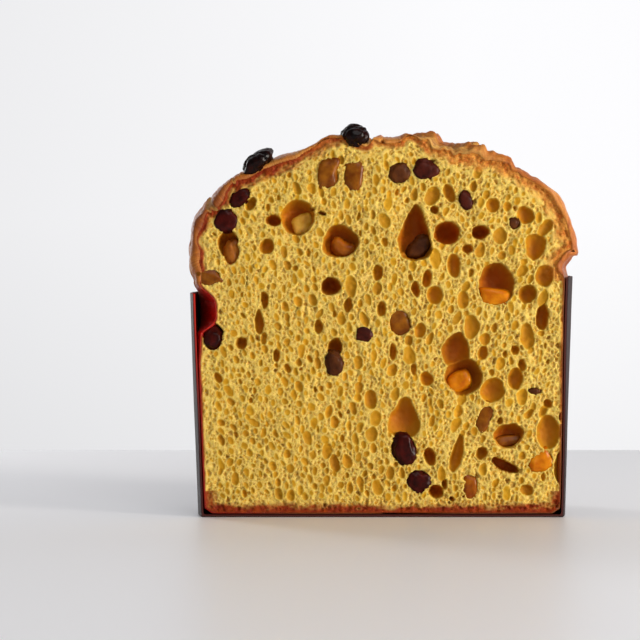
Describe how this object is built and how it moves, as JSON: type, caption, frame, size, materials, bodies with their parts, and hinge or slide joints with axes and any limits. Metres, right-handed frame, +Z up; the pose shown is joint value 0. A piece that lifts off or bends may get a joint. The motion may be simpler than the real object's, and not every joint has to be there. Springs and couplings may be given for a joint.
{
  "type": "panettone",
  "caption": "Tall domed sweet fruit loaf in a round brown paper mould, cut straight down so that its open yellow crumb with raisins and candied peel shows.",
  "frame": {"origin": "on the loaf's axis, at the underside of the paper mould's floor, where it stands on the table", "axes": "+Z up; -Y out of the cut face, towards the viewer; +X to the viewer's right, along the cut face"},
  "size_m": [0.181, 0.1126, 0.1787],
  "materials": {
    "bread": "matte",
    "paper": "matte",
    "raisin": "satin",
    "peel": "gloss"
  },
  "bodies": {
    "root": {"crust_peel_1": "peel", "crust_peel_2": "peel", "crust_raisin_1": "raisin", "crust_raisin_2": "raisin", "crust_raisin_3": "raisin", "loaf": "bread", "paper_case": "paper", "peel_01": "peel", "peel_02": "peel", "peel_03": "peel", "peel_04": "peel", "peel_05": "peel", "peel_06": "peel", "peel_07": "peel", "peel_08": "peel", "peel_09": "peel", "peel_10": "peel", "peel_11": "peel", "peel_12": "peel", "raisin_01": "raisin", "raisin_02": "raisin", "raisin_03": "raisin", "raisin_04": "raisin", "raisin_05": "raisin", "raisin_06": "raisin", "raisin_07": "raisin", "raisin_08": "raisin", "raisin_09": "raisin", "raisin_10": "raisin", "raisin_11": "raisin", "raisin_12": "raisin", "raisin_13": "raisin", "raisin_14": "raisin"}
  },
  "joints": []
}
